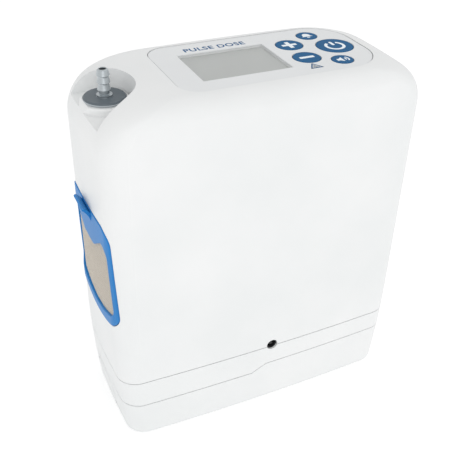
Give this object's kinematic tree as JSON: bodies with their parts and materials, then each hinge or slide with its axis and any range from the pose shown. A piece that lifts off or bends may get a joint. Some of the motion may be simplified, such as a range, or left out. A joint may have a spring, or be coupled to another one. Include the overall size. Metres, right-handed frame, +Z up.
{
  "type": "oxygen concentrator",
  "caption": "Portable oxygen concentrator: a rounded upright case with a barbed outlet in a corner pocket, a keypad with a screen, a pull-off intake filter and a slide-off battery.",
  "frame": {"origin": "centre of the flat underside, on the surface that the unit stands on", "axes": "+Z up, +X along the length from the outlet end to the exhaust end, +Y towards the back"},
  "size_m": [0.184, 0.0828, 0.2127],
  "materials": {
    "white_shell": "fine satin moulded ABS",
    "panel_film": "light grey satin film",
    "dark_rubber": "matt",
    "key_blue": "satin printed blue",
    "clear_lens": "translucent",
    "screen_glass": "anti-glare",
    "display_grey": "grey liquid-crystal panel",
    "circuit_green": "solder mask",
    "dome_steel": "bright",
    "flange_grey": "satin dark grey",
    "nozzle_metal": "satin anodised",
    "filter_blue": "satin blue",
    "filter_mesh": "woven polyester mesh",
    "black_plastic": "matt",
    "clear_plastic": "translucent",
    "cast_aluminium": "as cast",
    "lamination_steel": "laminated",
    "cell_sleeve": "shrink sleeve",
    "nickel_strip": "nickel"
  },
  "bodies": {
    "housing": {"alert_lens": "clear_lens", "base_gasket": "dark_rubber", "base_housing": "white_shell", "battery_connector": "black_plastic", "board_parts": "black_plastic", "buzzer": "black_plastic", "cannula_nozzle": "nozzle_metal", "chassis_frame": "black_plastic", "column_manifold": "cast_aluminium", "crank_bearings": "dome_steel", "crankcase": "cast_aluminium", "cylinder_left": "cast_aluminium", "cylinder_right": "cast_aluminium", "dc_jack": "black_plastic", "display_module": "display_grey", "display_window": "screen_glass", "dome_switches": "dome_steel", "exhaust_grille": "white_shell", "fan_housing": "black_plastic", "head_left": "cast_aluminium", "head_right": "cast_aluminium", "hoses": "clear_plastic", "housing_screws": "dome_steel", "intake_grille": "white_shell", "intake_muffler": "black_plastic", "keypad_board": "circuit_green", "main_board": "circuit_green", "motor_stator": "lamination_steel", "nozzle_collar": "white_shell", "nozzle_flange": "flange_grey", "nozzle_nut": "dome_steel", "output_filter": "clear_plastic", "oxygen_sensor": "black_plastic", "piston_left": "cast_aluminium", "piston_right": "cast_aluminium", "product_tank": "cast_aluminium", "pump_mounts": "dark_rubber", "sieve_column_front": "cast_aluminium", "sieve_column_rear": "cast_aluminium", "solenoid_valves": "black_plastic", "top_overlay": "panel_film", "upper_housing": "white_shell"},
    "key_power": {"key_power": "key_blue"},
    "key_plus": {"key_plus": "key_blue"},
    "key_minus": {"key_minus": "key_blue"},
    "key_light": {"key_light": "key_blue"},
    "key_sound": {"key_sound": "key_blue"},
    "battery": {"battery_case": "white_shell", "battery_lid": "black_plastic", "battery_terminals": "black_plastic", "battery_cells": "cell_sleeve", "cell_straps": "nickel_strip", "battery_board": "circuit_green", "latch_spring": "dome_steel"},
    "battery_latch": {"battery_latch": "white_shell"},
    "intake_filter": {"filter_frame": "filter_blue", "filter_screen": "filter_mesh"},
    "fan_rotor": {"fan_impeller": "black_plastic"},
    "pump_rotor": {"crankshaft": "dome_steel", "motor_rotor": "lamination_steel"}
  },
  "joints": [
    {"name": "key_power_press", "type": "slide", "parent": "housing", "child": "key_power", "axis": [0, 0, -1], "range_m": [0, 0.0005], "stiffness_N_per_m": 400},
    {"name": "key_plus_press", "type": "slide", "parent": "housing", "child": "key_plus", "axis": [0, 0, -1], "range_m": [0, 0.0005], "stiffness_N_per_m": 400},
    {"name": "key_minus_press", "type": "slide", "parent": "housing", "child": "key_minus", "axis": [0, 0, -1], "range_m": [0, 0.0005], "stiffness_N_per_m": 400},
    {"name": "key_light_press", "type": "slide", "parent": "housing", "child": "key_light", "axis": [0, 0, -1], "range_m": [0, 0.0005], "stiffness_N_per_m": 400},
    {"name": "key_sound_press", "type": "slide", "parent": "housing", "child": "key_sound", "axis": [0, 0, -1], "range_m": [0, 0.0005], "stiffness_N_per_m": 400},
    {"name": "battery_slide", "type": "slide", "parent": "housing", "child": "battery", "axis": [1, 0, 0], "range_m": [0, 0.185]},
    {"name": "battery_latch_press", "type": "slide", "parent": "battery", "child": "battery_latch", "axis": [1, 0, 0], "range_m": [0, 0.0025], "stiffness_N_per_m": 900, "deforming": ["latch_spring"]},
    {"name": "intake_filter_pull", "type": "slide", "parent": "housing", "child": "intake_filter", "axis": [-1, 0, 0], "range_m": [0, 0.03]},
    {"name": "fan_spin", "type": "hinge", "parent": "housing", "child": "fan_rotor", "pos_m": [0.08, 0, 0.086], "axis": [1, 0, 0], "continuous": true},
    {"name": "pump_spin", "type": "hinge", "parent": "housing", "child": "pump_rotor", "pos_m": [-0.014, 0, 0.088], "axis": [0, 1, 0], "continuous": true}
  ]
}
